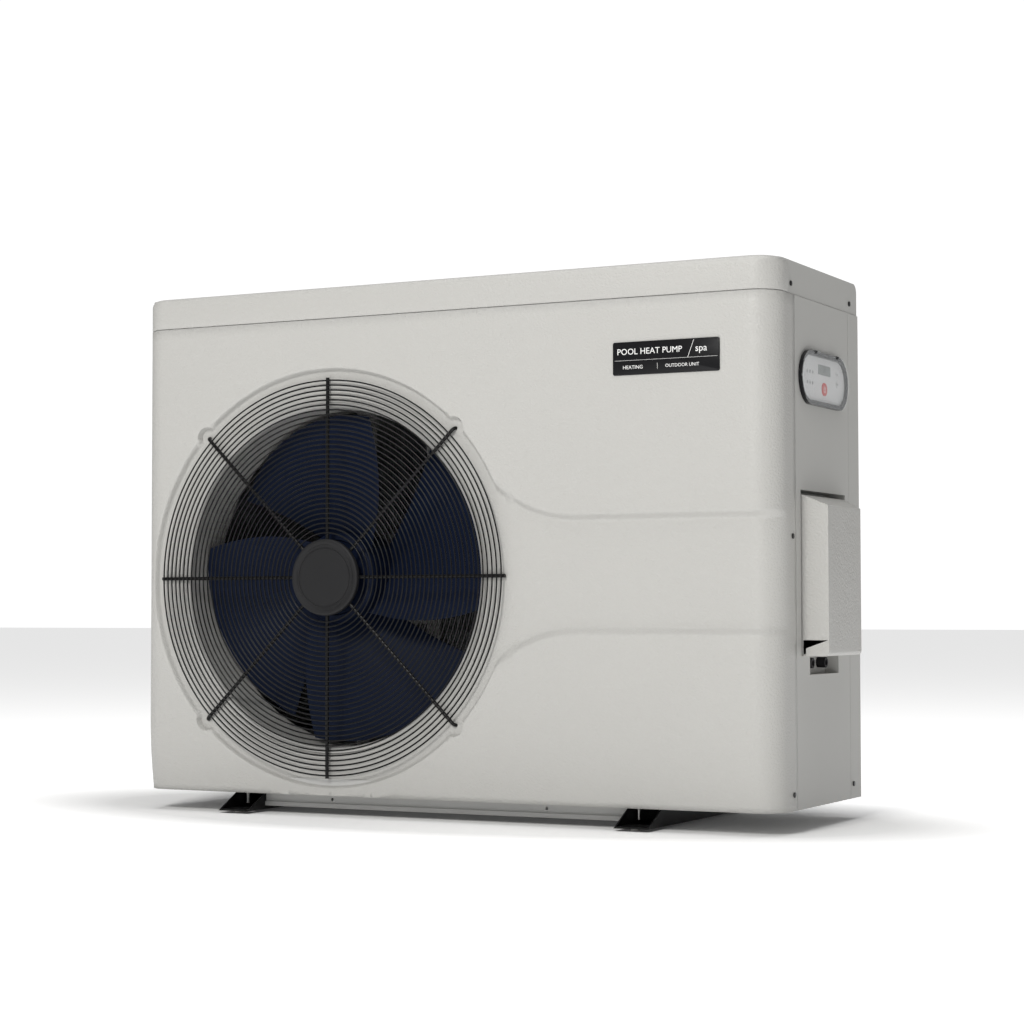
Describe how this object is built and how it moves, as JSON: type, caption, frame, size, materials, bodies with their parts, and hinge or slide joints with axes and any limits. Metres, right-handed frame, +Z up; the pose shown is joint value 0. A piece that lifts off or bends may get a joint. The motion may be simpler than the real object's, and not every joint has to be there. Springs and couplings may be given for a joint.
{
  "type": "heat pump unit (pool and spa equipment)",
  "caption": "Outdoor pool heat pump: light grey cabinet with a round front fan guard, side controller, junction box cover, mounting feet and rear water unions.",
  "frame": {"origin": "centre of the four foot slots, on the plane the foot buttons stand on", "axes": "+X to the right seen from the front (the service side), the front with the fan faces -Y, +Z up"},
  "size_m": [0.9962, 0.3755, 0.723],
  "materials": {
    "textured_casing": "fine orange-peel texture, light grey",
    "smooth_casing": "smooth light grey paint",
    "galvanised_steel": "light grey coated steel",
    "black_steel": "black coated steel",
    "zinc_bolt": "zinc plated",
    "light_rubber": "light grey moulded rubber",
    "guard_wire": "dark grey coated wire",
    "dark_plastic": "matte dark grey",
    "shroud_plastic": "smooth light grey plastic",
    "fan_plastic": "dark moulded plastic",
    "black_enamel": "black enamel",
    "black_rubber": "black rubber",
    "coil_aluminium": "thin bright fins",
    "copper": "copper tube",
    "exchanger_plastic": "dark grey plastic",
    "titanium": "plain titanium tube",
    "board_green": "coated circuit board",
    "terminal_cream": "moulded terminal strip",
    "display_black": "black plastic",
    "display_trim": "light grey plastic",
    "display_glass": "clear cover",
    "lcd_grey": "unlit liquid crystal window",
    "power_red": "red plastic"
  },
  "bodies": {
    "cabinet": {"front_panel": "textured_casing", "lid_fascia": "textured_casing", "top_lid": "smooth_casing", "right_side_panel": "smooth_casing", "rear_corner_panel": "smooth_casing", "left_side_grille": "smooth_casing", "base_pan": "galvanised_steel", "left_foot": "black_steel", "right_foot": "black_steel", "foot_buttons": "light_rubber", "foot_bolts": "zinc_bolt", "foot_cross_bars": "galvanised_steel", "drain_spigot": "dark_plastic", "rear_coil_guard": "guard_wire", "partition_plate": "galvanised_steel", "name_plate": "display_black", "casing_screws": "black_enamel", "fan_shroud": "shroud_plastic", "fan_guard": "guard_wire", "guard_cap": "dark_plastic", "guard_nuts": "zinc_bolt", "fan_motor": "black_enamel", "motor_bracket": "galvanised_steel", "evaporator_fins": "coil_aluminium", "evaporator_bends": "copper", "compressor": "black_enamel", "compressor_grommets": "black_rubber", "suction_accumulator": "black_enamel", "four_way_valve": "copper", "expansion_valve": "copper", "discharge_pipe": "copper", "suction_pipe": "copper", "liquid_pipe": "copper", "hot_gas_pipe": "copper", "coil_gas_pipe": "copper", "exchanger_shell": "exchanger_plastic", "titanium_coil": "titanium", "union_tails": "exchanger_plastic", "union_sockets": "exchanger_plastic", "union_nuts": "dark_plastic", "flow_switch": "dark_plastic", "control_box": "galvanised_steel", "control_board": "board_green", "heat_sink": "coil_aluminium", "junction_tray": "smooth_casing", "junction_cover": "textured_casing", "terminal_block": "terminal_cream", "cable_glands": "dark_plastic", "display_housing": "display_black", "display_bezel": "display_black", "display_face": "display_trim", "display_lcd": "lcd_grey"},
    "fan": {"fan_impeller": "fan_plastic", "motor_shaft": "zinc_bolt", "fan_nut": "zinc_bolt"},
    "flap": {"display_flap": "display_glass"},
    "power": {"power_button": "power_red"},
    "up": {"up_button": "display_trim"},
    "down": {"down_button": "display_trim"},
    "paddle": {"flow_paddle": "titanium"}
  },
  "joints": [
    {"name": "fan_spin", "type": "hinge", "parent": "cabinet", "child": "fan", "pos_m": [-0.1512, 0, 0.3253], "axis": [0, 1, 0], "continuous": true},
    {"name": "flap_hinge", "type": "hinge", "parent": "cabinet", "child": "flap", "pos_m": [0.50615, 0.0058, 0.6119], "axis": [0, -1, 0], "range_deg": [0, 120]},
    {"name": "power_press", "type": "slide", "parent": "cabinet", "child": "power", "axis": [-1, 0, 0], "range_m": [0, 0.0008], "stiffness_N_per_m": 1500},
    {"name": "up_press", "type": "slide", "parent": "cabinet", "child": "up", "axis": [-1, 0, 0], "range_m": [0, 0.0008], "stiffness_N_per_m": 1500},
    {"name": "down_press", "type": "slide", "parent": "cabinet", "child": "down", "axis": [-1, 0, 0], "range_m": [0, 0.0008], "stiffness_N_per_m": 1500},
    {"name": "paddle_swing", "type": "hinge", "parent": "cabinet", "child": "paddle", "pos_m": [0.395, 0.1055, 0.1315], "axis": [-1, 0, 0], "range_deg": [0, 25], "stiffness_Nm_per_rad": 0.002}
  ]
}
